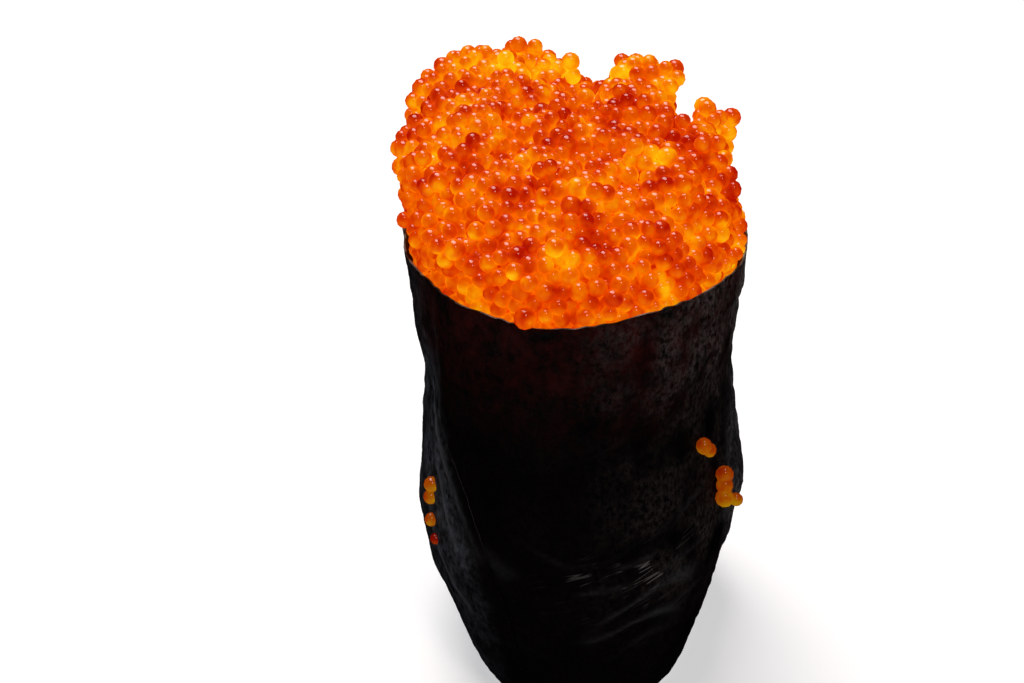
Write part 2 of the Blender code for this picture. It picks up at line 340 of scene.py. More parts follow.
def closeRim(centres, radii, rng):
    # tries places along the inside of the rim, and keeps those with room for one more egg
    turn = np.linspace(0.0, 2.0 * np.pi, eggs["rimRow"], endpoint=False)
    height = body["rim"] + rng.uniform(*eggs["rimRise"], len(turn))
    sizes = eggs["radius"] * rng.uniform(*eggs["rimSizes"], len(turn))
    inset = wallInset(turn, np.minimum(height, body["rim"])) + nori["thickness"] + sizes
    centre, spread, out, up = eggs["overRim"]
    over = turnBell(turn, centre, spread)
    inset = inset - over * out - ledgeOut(turn, height)
    height = height + over * up
    spots = ovalPoint(turn, height, inset)
    for spot, size in zip(spots, sizes):
        gap = np.linalg.norm(centres - spot, axis=1) - radii - size
        if gap.min() > -eggs["rimPress"] * size:
            centres = np.vstack([centres, spot])
            radii = np.append(radii, size)
    return centres, radii


def perchEggs(centres, radii, rng):
    # tries places just above the surface, and keeps those that touch an egg without cutting into one
    placed = 0
    low = np.array(eggs["perchLow"]) + (0.0, 0.0, body["rim"])
    spots = rng.uniform(low, eggs["perchHigh"], size=(eggs["tries"], 3))
    sizes = np.clip(eggs["radius"] * (1.0 + eggs["radiusSpread"] * rng.normal(size=len(spots))),
                    eggs["smallest"], eggs["largest"])
    depth = heapDepth(spots)[0]
    near = (depth < sizes * eggs["sunk"][1]) & (depth > sizes * eggs["sunk"][0])
    near &= (spots[:, 0] > eggs["edges"][0]) & (spots[:, 0] < eggs["edges"][1])
    near &= (depth > 0.0) | (spots[:, 2] > body["rim"] + eggs["overhang"])
    for spot, size in zip(spots[near], sizes[near]):
        gap = np.linalg.norm(centres - spot, axis=1) - radii - size
        if -eggs["cut"] < gap.min() < eggs["touch"] and (gap < eggs["beside"]).sum() > 1:
            centres = np.vstack([centres, spot])
            radii = np.append(radii, size)
            placed += 1
            if placed == eggs["perched"]:
                break
    print("perched eggs:", placed)
    return centres, radii


def wallEggs(rows):
    # eggs stuck to the wall or hanging over the rim, from their turn, height, radius and stand-out
    turn, height, radius, out, warmth = (np.array(column) for column in zip(*rows))
    turn = np.radians(turn)
    centres = ovalPoint(turn, height, wallInset(turn, height) - out)
    return centres, radius, warmth


def unitEgg():
    # 80-faced ball: corners and faces of an icosphere
    made = bmesh.new()
    bmesh.ops.create_icosphere(made, subdivisions=2, radius=1.0)
    corners = np.array([v.co[:] for v in made.verts])
    faces = np.array([[v.index for v in f.verts] for f in made.faces])
    made.free()
    return corners / np.linalg.norm(corners, axis=1)[:, None], faces


def meshPiece(name, points, faces, material):
    # one smooth-shaded object from arrays of corners and faces
    mesh = bpy.data.meshes.new(name)
    mesh.from_pydata(points, [], faces)
    mesh.update()
    mesh.shade_smooth()
    mesh.materials.append(material)
    piece = bpy.data.objects.new(name, mesh)
    bpy.context.scene.collection.objects.link(piece)
    return piece


def setAttribute(mesh, name, values):
    # one number for each corner, for a material to read
    layer = mesh.attributes.new(name, "FLOAT", "POINT")
    layer.data.foreach_set("value", np.asarray(values, np.float32))


class Wire:
    # one socket of a material, so that shader maths reads as plain expressions
    def __init__(self, tree, socket=None):
        self.tree, self.socket = tree, socket

    def node(self, kind, settings=None, values=None, out=0):
        made = self.tree.nodes.new(kind)
        for name, value in (settings or {}).items():
            if name == "stops":
                ramp = made.color_ramp
                while len(ramp.elements) < len(value):
                    ramp.elements.new(0.5)
                for element, (position, colour) in zip(ramp.elements, value):
                    element.position = position
                    element.color = (*colour, 1.0)
            else:
                setattr(made, name, value)
        for name, value in (values or {}).items():
            if isinstance(value, Wire):
                self.tree.links.new(value.socket, made.inputs[name])
            elif value is not None:
                made.inputs[name].default_value = value
        return Wire(self.tree, made.outputs[out])

    def noise(self, place, scale, detail, roughness=0.5):
        return self.node("ShaderNodeTexNoise", {}, {0: place, 2: scale, 3: detail, 4: roughness})

    def attribute(self, name):
        return self.node("ShaderNodeAttribute", {"attribute_name": name}, out=2)

    def feed(self, shader, **sockets):
        for name, wire in sockets.items():
            self.tree.links.new(wire.socket, shader.inputs[name.replace("_", " ")])

    def math(self, operation, other=None):
        return self.node("ShaderNodeMath", {"operation": operation}, {0: self, 1: other})

    def __add__(self, other):
        return self.math("ADD", other)

    def __mul__(self, other):
        return self.math("MULTIPLY", other)

    def __sub__(self, other):
        return self.math("SUBTRACT", other)

    def __rsub__(self, other):
        return self.node("ShaderNodeMath", {"operation": "SUBTRACT"}, {0: other, 1: self})

    __radd__ = __add__
    __rmul__ = __mul__

    def clamp(self):
        return self.node("ShaderNodeClamp", {}, {0: self})

    def mix(self, first, second):
        # first where this is 0, second where it is 1, both colours
        first = (*first, 1.0) if isinstance(first, tuple) else first
        second = (*second, 1.0) if isinstance(second, tuple) else second
        return self.node("ShaderNodeMix", {"data_type": "RGBA"}, {0: self, 6: first, 7: second}, out=2)


def newMaterial(name, **constants):
    # a material with constant values set on its shader's own sockets
    material = bpy.data.materials.new(name)
    material.use_nodes = True
    tree = material.node_tree
    shader = tree.nodes["Principled BSDF"]
    for socket, value in constants.items():
        shader.inputs[socket.replace("_", " ")].default_value = value
    return material, shader, Wire(tree)


# Colours of an egg's skin and of its painted glow, the emission that stands in for the light inside it,
# by warmth
eggLook = {
    "skin": [(0.0, (0.10, 0.004, 0.000)), (0.5, (0.14, 0.026, 0.000)), (1.0, (0.18, 0.09, 0.001))],
    "light": [(0.0, (0.38, 0.005, 0.000)), (0.25, (0.60, 0.036, 0.000)), (0.5, (0.76, 0.115, 0.000)),
              (0.75, (0.86, 0.28, 0.001)), (1.0, (0.92, 0.50, 0.004))],
    # size of the patches, how much they change the warmth, and the most they add to it
    "broad": (520.0, 1.2, 0.20), "local": (1500.0, 0.5),
    "wet": 620.0, "smoothest": 0.07, "dullest": 0.17,
    "coreSkin": (0.5, 0.03, 0.001, 1.0), "coreGlow": (0.9, 0.05, 0.001, 1.0),
}


def eggMaterial(name, strength):
    # a painted glow, emission standing in for the light inside the eggs, does most of the colouring:
    # red, then orange, then amber as it gathers; it runs on unevenly through eggs that touch, and some
    # skins are wetter than others
    look = eggLook
    material, shader, wire = newMaterial(
        name, Specular_IOR_Level=0.55, IOR=1.38, Emission_Strength=strength)
    place = wire.node("ShaderNodeTexCoord", out=3)
    broadSize, broadChange, broadMost = look["broad"]
    localSize, localChange = look["local"]
    broad = ((wire.noise(place, broadSize, 1.0) - 0.5) * broadChange).math("MINIMUM", broadMost)
    local = (wire.noise(place, localSize, 1.0) - 0.5) * localChange
    wetness = wire.noise(place, look["wet"], 0.0)
    warmth = wire.attribute("warmth") + broad + local
    skin = wire.node("ShaderNodeValToRGB", {"stops": look["skin"]}, {0: warmth})
    # painted glow: the emission colour stands in for the light inside the eggs
    light = wire.node("ShaderNodeValToRGB", {"stops": look["light"]}, {0: warmth})
    dull = ((wetness - 0.40) * 4.0).clamp()
    rough = dull * (look["dullest"] - look["smoothest"]) + look["smoothest"]
    wire.feed(shader, Base_Color=skin, Emission_Color=light, Roughness=rough)
    return material


def coreMaterial():
    # the deep red of the mass behind the eggs, with a painted glow: it emits though it is no lamp
    return newMaterial("roeCore", Roughness=0.3, Emission_Strength=0.5,
                       Base_Color=eggLook["coreSkin"], Emission_Color=eggLook["coreGlow"])[0]


def randomTurns(rng, count):
    # one rotation matrix for each egg, from seeded unit quaternions
    w, x, y, z = rng.normal(size=(4, count))
    size = np.sqrt(w * w + x * x + y * y + z * z)
    w, x, y, z = w / size, x / size, y / size, z / size
    rows = [[1 - 2 * (y * y + z * z), 2 * (x * y - w * z), 2 * (x * z + w * y)],
            [2 * (x * y + w * z), 1 - 2 * (x * x + z * z), 2 * (y * z - w * x)],
            [2 * (x * z - w * y), 2 * (y * z + w * x), 1 - 2 * (x * x + y * y)]]
    return np.array(rows).transpose(2, 0, 1)


def eggShapes(centres, radii, rng):
    # every egg is the same ball, turned, squashed a little and moved to its place
    corners, faces = unitEgg()
    count = len(centres)
    squash = 1.0 + eggs["squash"] * rng.normal(size=(count, 1, 3))
    ball = np.einsum("ck,njk->ncj", corners, randomTurns(rng, count))
    points = ball * squash * radii[:, None, None] + centres[:, None, :]
    return ball, points, faces


def eggWarmth(centres, radii, tint, ball, points):
    # colour from deep red at 0 to yellow at 1: tint plus a painted glow where the light would gather on
    # the far side from the lamp, averaged with the neighbours that a corner lies close to, so that
    # touching eggs melt together
    def warmthOf(own, outward):
        begin, over = eggs["gathers"]
        gathered = smoothStep((outward @ eggs["lightRuns"] - begin) / over)
        return own * eggs["tintShare"] + gathered * eggs["glowShare"]

    warmth = warmthOf(tint[:, None], ball)
    total = np.ones(warmth.shape)
    pairs = neighbours(centres, eggs["meltReach"] * eggs["radius"])
    pairs = np.concatenate([pairs, pairs[:, ::-1]])
    block = 6000
    for start in range(0, len(pairs), block):
        one, other = pairs[start:start + block].T
        gap = points[one] - centres[other][:, None, :]
        distance = np.linalg.norm(gap, axis=2)
        beyond = np.maximum(distance - radii[other][:, None], 0.0)
        weight = bell(beyond, eggs["melt"])
        there = warmthOf(tint[other][:, None], gap / distance[:, :, None])
        np.add.at(warmth, one, weight * there)
        np.add.at(total, one, weight)
    return warmth / total


def eggPiece(name, points, faces, warmth, material):
    # all eggs of one kind joined into one mesh, with their warmth at every corner
    count, corners = warmth.shape
    allFaces = joinedFaces(faces, count, corners)
    piece = meshPiece(name, points.reshape(-1, 3), allFaces, material)
    setAttribute(piece.data, "warmth", warmth.ravel())
    print(name, "eggs:", count, "faces:", len(allFaces))
    return piece


def heapSurface(turn, climb, sink):
    # point of the heap: quarter power arcs from the rim to the crown, moved in by sink
    angle = climb * np.pi / 2.0
    power = slopePower(turn)
    spread = np.cos(angle) ** (2.0 / power)
    rise = np.sin(angle) ** (2.0 / power)
    corner = body["corner"] * turnBell(turn, body["cornerTurn"], body["cornerSpread"])
    inset = sink - corner * (1.0 - climb) ** 6
    x = (body["halfWidth"] - inset) * np.cos(turn) * spread
    y = (body["halfLength"] - inset) * np.sin(turn) * spread
    return np.stack([x, y, heap["foot"] - sink + crownHeight(x, y) * rise], axis=-1)


def closedLoft(rows, columns):
    # quads of a grid whose columns close into rings, and a cap on the first ring and on the last
    low = (np.arange(rows - 1)[:, None] * columns + np.arange(columns)[None, :])
    beside = (np.arange(rows - 1)[:, None] * columns + (np.arange(columns)[None, :] + 1) % columns)
    quads = np.stack([low, beside, beside + columns, low + columns], axis=-1).reshape(-1, 4)
    caps = [list(range(columns))[::-1], list(range((rows - 1) * columns, rows * columns))]
    return quads.tolist() + caps


def joinedFaces(faces, count, corners):
    # the faces of one small shape repeated for each copy, its corner numbers moved up
    return (faces[None, :, :] + (np.arange(count) * corners)[:, None, None]).reshape(-1, 3)


def makeCore(material):
    # the mass behind the eggs: the heap's surface moved in, down to just above the rice
    columns, rows = 120, 40
    turn = np.linspace(0.0, 2.0 * np.pi, columns, endpoint=False)[None, :]
    climb = np.linspace(0.0, 0.995, rows)[:, None]
    turn, climb = np.broadcast_arrays(turn, climb)
    grid = heapSurface(turn, climb, eggs["core"])
    foot = grid[0].copy()
    foot[:, 2] = riceHigh.z + 0.0003
    grid = np.concatenate([foot[None], grid]).reshape(-1, 3)
    return meshPiece("roe_core", grid, closedLoft(rows + 1, columns), material)


def makeEggs():
    # packed eggs, rim eggs and single ones share one melting painted glow; stray ones have their own,
    # dimmer as painted shade
    centres, radii = packEggs()
    rng = np.random.default_rng(eggs["seed"] + 1)
    patches = eggs["patches"] * sineWaves(centres, eggs["patchSize"], eggs["patchSeed"])
    for x, y, z, spread, amount in eggs["places"]:
        patches = patches + amount * bell(np.linalg.norm(centres - (x, y, z), axis=1), spread)
    tint = np.clip(0.5 + eggs["oneByOne"] * rng.normal(size=len(centres)) + patches, 0.0, 1.0)
    rimCentres, rimRadii, rimTint = wallEggs(eggs["rimEggs"])
    singles = np.array(eggs["singles"])
    centres = np.concatenate([centres, rimCentres, singles[:, :3]])
    radii = np.concatenate([radii, rimRadii, singles[:, 3]])
    tint = np.concatenate([tint, rimTint, singles[:, 4]])
    ball, points, faces = eggShapes(centres, radii, rng)
    warmth = eggWarmth(centres, radii, tint, ball, points)
    material = eggMaterial("roeEgg", 1.0)
    pieces = [makeCore(coreMaterial())]
    isRed, isAmber = tint <= eggs["redBelow"], tint > eggs["amberAbove"]
    kinds = {"amber": isAmber, "orange": ~isRed & ~isAmber, "red": isRed}
    for kind, chosen in kinds.items():
        pieces.append(eggPiece("roe_" + kind, points[chosen], faces, warmth[chosen], material))
    centres, radii, tint = wallEggs(eggs["stray"])
    ball, points, faces = eggShapes(centres, radii, rng)
    warmth = eggWarmth(centres, radii, tint, ball, points)
    material = eggMaterial("roeEggStray", eggs["strayGlow"])
    pieces.append(eggPiece("roe_stray", points, faces, warmth, material))
    return pieces


# The seaweed strip: geometry of the wrap, then its relief
nori = {
    "thickness": 0.00016, "foot": 0.0002,
    "lapGap": 0.00003, "lapTurn": 42.0, "lapRamp": 70.0,       # the strip covers its own start
    "seamTurn": 184.0, "seamDrift": 64.0,                      # its free end slants forward
    "driftHeight": 0.0388, "driftDepth": 0.0278, "lapLift": 0.00008,
    "endWave": 0.010, "endWaveSize": 0.0011,                   # the free end isn't cut quite straight
    "pressedFrom": 0.985, "pressedBy": 0.75,   # the last of the strip is pressed on the layer below
    "rimWave": 0.00035, "rimNick": 0.00005,
    # low ledges below the rim: turn, spread in degrees, how far down from the rim, how far out
    "ledges": [(-20.0, 16.0, 0.0034, 0.00050), (172.0, 22.0, 0.0050, 0.00025)],
    "columns": 400, "rows": 116,
    # unevenness, coarse to fine: height, size and seed
    "uneven": [(0.00014, 0.0080, 31), (0.000035, 0.0026, 32), (0.000025, 0.0010, 33)],
    # creased places, where fine crease lines with painted glints go: share, turn and spread in degrees,
    # height and spread
    "creased": [(1.0, -68.0, 26.0, 0.0156, 0.0030), (0.6, 70.0, 60.0, 0.0170, 0.0060)],
    "shineFoot": (0.0070, 0.0060), "foldShine": 0.00018,
    # the front limit of the painted grey sheen on the -X side, from the foot up
    "sheenHeights": [0.006, 0.012, 0.016, 0.0216, 0.027, 0.036],
    "sheenTurns": [-116.0, -116.0, -120.0, -133.0, -140.0, -143.0],
    "sheenEdge": 12.0, "sheenBack": (-250.0, 60.0), "sheenFoot": (0.35, 0.0060, 0.0120),
}

# Fine wrinkles near the foot
wrinkles = {
    "rise": 0.00014,
    "size": 0.0034, "seed": 41, "waves": 12,
    "stretch": 0.16, "sharpness": 1.6, "slope": 0.10,
    "bends": [(0.0012, 0.0043, 1.0), (0.0007, 0.0019, 0.0)],    # height, length and shift
    "patchSize": 0.0130, "patchSeed": 42,
    "top": 0.0200, "topEdge": 0.006, "footEdge": 0.004,
    "rest": 0.35, "side": 0.75,                # how much of them is left away from the +X front
}

# Soft folds of the strip: three points as turn in degrees and height, then width and stand-out
folds = [
    ((-151.0, 0.0268), (-140.0, 0.0216), (-120.0, 0.0160), 0.00024, 0.00014),
    ((-147.0, 0.0240), (-143.0, 0.0190), (-131.0, 0.0150), 0.00022, 0.00008),
    ((-152.0, 0.0170), (-143.0, 0.0118), (-126.0, 0.0100), 0.00030, 0.00009),
    ((-142.0, 0.0370), (-144.0, 0.0320), (-145.0, 0.0255), 0.00026, 0.00008),
    ((-60.0, 0.0172), (-68.0, 0.0170), (-76.0, 0.0166), 0.00018, 0.00010),
    ((-68.0, 0.0150), (-78.0, 0.0152), (-88.0, 0.0147), 0.00018, 0.00010),
    ((-38.0, 0.0164), (-48.0, 0.0158), (-60.0, 0.0153), 0.00024, 0.00009),
    ((-40.0, 0.0116), (-50.0, 0.0112), (-62.0, 0.0116), 0.00028, 0.00007),
    ((-36.0, 0.0204), (-44.0, 0.0201), (-52.0, 0.0195), 0.00024, 0.00008),
    ((20.0, 0.0150), (48.0, 0.0125), (80.0, 0.0140), 0.00034, 0.00014),
    ((60.0, 0.0220), (85.0, 0.0190), (112.0, 0.0205), 0.00030, 0.00012),
    ((118.0, 0.0150), (140.0, 0.0110), (165.0, 0.0135), 0.00034, 0.00014),
]


def arcLength(turn):
    # way round the oval from the low end to this turn, from a fine table of chords
    table = np.linspace(-1.5 * np.pi, 2.5 * np.pi, 2000)
    chord = np.hypot(body["halfWidth"] * np.sin(table), body["halfLength"] * np.cos(table))
    length = np.cumsum(chord) * (table[1] - table[0])
    return np.interp(turn, table, length - np.interp(-np.pi / 2.0, table, length))


def foldRelief(turn, height):
    # each fold is a curve through three points; its profile is a bell across and fades at both ends
    turn = (turn + 1.5 * np.pi) % (2.0 * np.pi) - 1.5 * np.pi
    along = arcLength(turn)
    relief = np.zeros(np.shape(turn))
    step = np.linspace(0.0, 1.0, 30)
    for first, middle, last, width, rise in folds:
        angles = [math.radians(point[0]) for point in (first, middle, last)]
        levels = [point[1] for point in (first, middle, last)]
        weights = [(1.0 - step) ** 2, 2.0 * step * (1.0 - step), step ** 2]
        curveTurn = sum(weight * angle for weight, angle in zip(weights, angles))
        curveTurn = (curveTurn + 1.5 * np.pi) % (2.0 * np.pi) - 1.5 * np.pi
        curveAlong = arcLength(curveTurn)
        curveHeight = sum(weight * level for weight, level in zip(weights, levels))
        for a, h, t in zip(curveAlong, curveHeight, step):
            fade = math.sin(math.pi * min(max(t, 0.02), 0.98)) ** 0.5
            distance = np.hypot(along - a, height - h)
            relief = np.maximum(relief, rise * fade * bell(distance, width))
    return relief


def wrinkleRelief(turn, height):
    # fine folds: one minus the size of a stretched wave, sharpened, where the sheet tucks in under
    w = wrinkles
    along = arcLength(turn)
    bend = sum(rise * np.sin(along / length + shift) for rise, length, shift in w["bends"])
    level = height + bend + w["slope"] * along
    flat = np.stack([along * w["stretch"], level, 0.3 * along], axis=-1).reshape(-1, 3)
    waves = sineWaves(flat, w["size"], w["seed"], w["waves"]).reshape(np.shape(turn))
    crest = np.maximum(1.0 - np.abs(waves) * w["sharpness"], 0.0) ** 2
    flat = np.stack([along, height * 1.5, along * 0.0], axis=-1).reshape(-1, 3)
    patchy = sineWaves(flat, w["patchSize"], w["patchSeed"]).reshape(np.shape(turn))
    patchy = smoothStep(0.5 + 0.9 * patchy)
    low = smoothStep((w["top"] - height) / w["topEdge"]) * smoothStep((height + 0.001) / w["footEdge"])
    side = w["rest"] + (1.0 - w["rest"]) * smoothStep(np.cos(turn + w["side"]))
    return crest * patchy * low * side


def ledgeOut(turn, height):
    # how far the low ledges below the rim stand out: bells round the oval, from a given height up
    return sum(out * turnBell(turn, centre, spread) * smoothStep((height - body["rim"] + down) / 0.0006)
               for centre, spread, down, out in nori["ledges"])


def noriSurface(along, up):
    # outer face of the strip; along runs from its hidden start to its free end, up from foot to rim
    b = body
    n = nori
    height = n["foot"] + (b["rim"] - n["foot"]) * up
    seam = math.radians(n["seamTurn"])
    lapTurn = math.radians(n["lapTurn"])
    lapRamp = math.radians(n["lapRamp"])
    start = seam - lapTurn
    slant = smoothStep((n["driftHeight"] - height) / n["driftDepth"])
    end = seam + math.radians(n["seamDrift"]) * slant
    end = end + n["endWave"] * np.sin(height / n["endWaveSize"]) * up
    turn = start + along * (2.0 * np.pi + end - start)
    climb = (turn - start - 2.0 * np.pi + lapRamp) / lapRamp
    lap = (n["thickness"] + n["lapGap"]) * smoothStep(climb)
    pressed = smoothStep((along - n["pressedFrom"]) / (1.0 - n["pressedFrom"]))
    lap = lap * (1.0 - n["pressedBy"] * pressed)
    beyondStart = (turn - start - 2.0 * np.pi) / lapTurn
    lift = n["lapLift"] * smoothStep(beyondStart) * bell(height - b["bellyHeight"], b["bellySpread"])
    lip = ledgeOut(turn, height)
    spots = ovalPoint(turn, height, 0.0).reshape(-1, 3)
    shape = np.shape(turn)
    relief = sum(rise * sineWaves(spots, size, seed).reshape(shape) for rise, size, seed in n["uneven"])
    shine = wrinkleRelief(turn, height)
    folded = foldRelief(turn, height)
    covered = smoothStep((turn - start) / lapTurn)
    relief = relief + wrinkles["rise"] * shine * covered + folded * covered
    point = ovalPoint(turn, height, wallInset(turn, height) - lap - lift - lip - relief)
    wave = n["rimWave"] * np.sin(3.0 * turn + 0.8) * np.cos(2.0 * turn)
    nick = n["rimNick"] * np.sin(turn * 41.0 + 2.0 * np.sin(turn * 13.0))
    point[..., 2] += up ** 4 * wave + up ** 30 * nick
    # where the fine crease lines and their painted glints go
    creased = sum(share * turnBell(turn, centre, spread) * bell(height - level, levelSpread)
                  for share, centre, spread, level, levelSpread in n["creased"])
    shineFrom, shineOver = n["shineFoot"]
    shine = shine * smoothStep((height - shineFrom) / shineOver)
    shine = np.clip(shine + folded / n["foldShine"], 0.0, 1.0)
    return point, {"shine": shine, "creased": creased, "sheen": sheenArea(turn, height)}


def sheenArea(turn, height):
    # 1 where the -X side has a painted grey sheen: from a slanting fold at the front to round the back,
    # weaker towards the foot
    degrees = (np.degrees(turn) + 270.0) % 360.0 - 270.0
    front = np.interp(height, nori["sheenHeights"], nori["sheenTurns"])
    back, backEdge = nori["sheenBack"]
    least, footHeight, footEdge = nori["sheenFoot"]
    sides = smoothStep((front - degrees) / nori["sheenEdge"]) * smoothStep((degrees - back) / backEdge)
    return sides * (least + (1.0 - least) * smoothStep((height - footHeight) / footEdge))


def makeNori():
    # a grid of the outer face, made solid inwards
    n = nori
    along = np.linspace(0.0, 1.0, n["columns"] + 1)[None, :]
    up = np.linspace(0.0, 1.0, n["rows"] + 1)[:, None]
    along, up = np.broadcast_arrays(along, up)
    points, looks = noriSurface(along, up)
    width = n["columns"] + 1
    corner = (np.arange(n["rows"])[:, None] * width + np.arange(n["columns"])[None, :]).ravel()
    faces = np.stack([corner, corner + 1, corner + width + 1, corner + width], axis=1)
    piece = meshPiece("nori_sheet", points.reshape(-1, 3), faces, noriMaterial())
    for look, values in looks.items():
        setAttribute(piece.data, look, values.ravel())
    solidify = piece.modifiers.new("thickness", "SOLIDIFY")
    solidify.thickness = n["thickness"]
    solidify.offset = -1.0
    solidify.use_even_offset = False
    piece.data.materials.append(cutEdgeMaterial())
    solidify.material_offset_rim = 1
    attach(piece, "root")
    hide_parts("nori_band")
    print("seaweed faces:", len(faces) * 2)


# Colours of the strip, with its painted glow, sheens, glints and shade
noriLook = {
    "cutDark": (0.002, 0.002, 0.002), "cutPaleHighlight": (0.26, 0.24, 0.21), "cutFrom": 0.0366,
    "black": (0.0015, 0.0012, 0.0013), "red": (0.0250, 0.0026, 0.0022),
    "mottleAndSheen": (0.088, 0.066, 0.064), "edge": (0.120, 0.118, 0.126), "sheen": (0.046, 0.052, 0.062),
    "glint": (0.180, 0.172, 0.170), "shine": (0.040, 0.041, 0.045), "foldSheen": (0.120, 0.128, 0.150),
    "redGlowFrom": 0.026, "footShadeTop": 0.007,       # heights where the painted red glow begins, and where the painted shade at the foot ends
    "creaseTilt": 0.30, "creaseStretch": (0.15, 0.15, 2.4),
}


def cutEdgeMaterial():
    # the cut edge of the strip is paler than its face along the rim: partly its own paler colour, partly
    # a painted highlight in broken lengths along the top
    look = noriLook
    material, shader, wire = newMaterial("noriCutEdge", Roughness=0.4, Specular_IOR_Level=0.2)
    place = wire.node("ShaderNodeTexCoord", out=3)
    broken = ((wire.noise(place, 420.0, 3.0) - 0.42) * 5.0).clamp()
    height = wire.node("ShaderNodeSeparateXYZ", {}, {0: place}, out=2)
    top = ((height - look["cutFrom"]) * 2000.0).clamp()
    wire.feed(shader, Base_Color=(broken * top).mix(look["cutDark"], look["cutPaleHighlight"]))
    return material


def noriMaterial():
    # near black, with grey fibre mottling along the height and a wet coat on the folds; painted on it: a
    # dark red glow high up, for the roe's light through the sheet, grey sheens on the flanks and the +X
    # edge, glints on creases and folds, shade at the foot;
    # every mask is a noise or a height less a threshold, made steep and cut to 0..1
    look = noriLook
    material, shader, wire = newMaterial(
        "noriSheet", Specular_IOR_Level=0.006, Coat_Roughness=0.17, Coat_IOR=1.45)
    place = wire.node("ShaderNodeTexCoord", out=3)
    fibres = wire.node("ShaderNodeMapping", {}, {0: place, 3: (1.0, 1.0, 0.80)})
    tilted = wire.node("ShaderNodeMapping", {}, {0: place, 2: (0.0, look["creaseTilt"], 0.0)})
    across = wire.node("ShaderNodeMapping", {}, {0: tilted, 3: look["creaseStretch"]})
    blotch = wire.noise(place, 330.0, 3.0, 0.6)
    grainy = wire.noise(place, 1300.0, 3.0, 0.7)
    speck = wire.noise(fibres, 2500.0, 3.0, 0.7)
    fine = wire.noise(fibres, 3600.0, 3.0, 0.6)
    patch = wire.noise(place, 260.0, 2.0)
    crease = wire.noise(across, 800.0, 0.5)
    gaps = wire.noise(place, 560.0, 1.0)
    side = wire.node("ShaderNodeSeparateXYZ", {}, {0: place})
    height = wire.node("ShaderNodeSeparateXYZ", {}, {0: place}, out=2)
    shine, creased, sheen = (wire.attribute(name) for name in ("shine", "creased", "sheen"))
    high = ((height - look["redGlowFrom"]) * 95.0).clamp()
    # painted shade at the foot: the grey sheens fade to 15 % towards the foot
    low = ((height - look["footShadeTop"]) * 110.0).clamp() * 0.85 + 0.15
    # painted glow: dark red in mottled blotches high on the strip, for the roe's light through the sheet
    red = ((blotch * 0.5 + grainy * 0.5 - 0.40) * 4.0).clamp() * (high * 0.96 + 0.04)
    mottled = ((speck - 0.38) * 2.8).clamp()
    patches = ((patch - 0.36) * 4.0).clamp()
    # grey mottling, part fibre texture and part painted sheen, stronger up high and shaded at the foot
    mottleAndSheen = mottled * patches * (high * 0.6 + 0.4) * low
    # the painted grey sheen is kept to the +X side
    sheenSide = (side * 90.0 - 0.05).clamp() * 0.95 + 0.05
    # painted sheen along the +X edge
    rightEdgeSheen = (side * 700.0 - 8.6).clamp() * mottled * low * (patches * 0.6 + 0.4)
    # painted blue-grey sheen on the -X side, weaker up high
    leftSheen = sheen * (1.0 - high * 0.6) * ((grainy - 0.34) * 3.0).clamp()
    leftSheen = leftSheen * (patches * 0.7 + 0.3)
    # fine crease lines, which also carry painted glints in the base colour
    creaseGlintLines = (1.0 - ((crease - 0.5).math("ABSOLUTE") * 26.0)).clamp() * creased
    creaseGlintLines = creaseGlintLines * ((gaps - 0.51) * 9.0).clamp()
    base = red.mix(look["black"], look["red"])
    base = (mottleAndSheen * sheenSide).mix(base, look["mottleAndSheen"])
    base = rightEdgeSheen.mix(base, look["edge"])
    base = leftSheen.mix(base, look["sheen"])
    # painted glints on the crease lines
    base = (creaseGlintLines * creaseGlintLines * 0.8).mix(base, look["glint"])
    # painted sheen on the wrinkles and folds, bluer where they lie in the -X side's painted sheen
    base = (shine * (0.15 + speck * 0.6)).clamp().mix(base, look["shine"])
    base = (shine * sheen * (0.2 + speck)).clamp().mix(base, look["foldSheen"])
    coat = (shine * shine * (0.1 + speck * 0.5) + mottleAndSheen * 0.08 + creaseGlintLines * (0.4 + speck * 1.4)).clamp()
    relief = speck * 0.6 + fine * 0.4 + creaseGlintLines * 0.8
    bump = wire.node("ShaderNodeBump", {}, {0: 0.8, 1: 0.00008, 3: relief})
    wire.feed(shader, Base_Color=base, Coat_Weight=coat, Roughness=0.60 - fine * 0.30, Normal=bump)
    return material


# The pressed rice, of which only the underside can be seen
rice = {
    "seed": 4,
    "length": 0.0031, "width": 0.00115, "sizeSpread": 0.08,    # half sizes are taken from these
    "dipSpread": 0.22, "plump": 0.18,
    # lattice of the places, its low and high corner, and the layer and ring that are kept
    "pitch": 0.0019, "jitter": 0.14,
    "latticeLow": (-0.014, -0.021, 0.0006), "latticeHigh": (0.014, 0.021, 0.0042),
    "layer": 0.0012, "ring": 0.84,
    "wall": 0.00095, "clear": 0.0007,        # the grains and their middles stay this far inside
    "packed": 0.0002, "packedFoot": 0.0007,  # the mass behind them is a little further in and up
}


def riceGrains():
    # a seeded lattice of places: a flat layer on the underside and rows up the foot of the wall
    rng = np.random.default_rng(rice["seed"])
    low, high = np.array(rice["latticeLow"]), np.array(rice["latticeHigh"])
    spots = closePacked(rice["pitch"], low, high)
    spots += rng.normal(size=spots.shape) * rice["pitch"] * rice["jitter"]
    turn = np.arctan2(spots[:, 1] / body["halfLength"], spots[:, 0] / body["halfWidth"])
    inset = wallInset(turn, spots[:, 2]) + rice["wall"] + rice["clear"]
    wall = ovalPoint(turn, spots[:, 2], inset)
    reach = np.hypot(spots[:, 0], spots[:, 1]) / np.hypot(wall[:, 0], wall[:, 1])
    outer = (spots[:, 2] < rice["layer"]) | (reach > rice["ring"])
    return spots[(reach < 1.0) & outer], rng


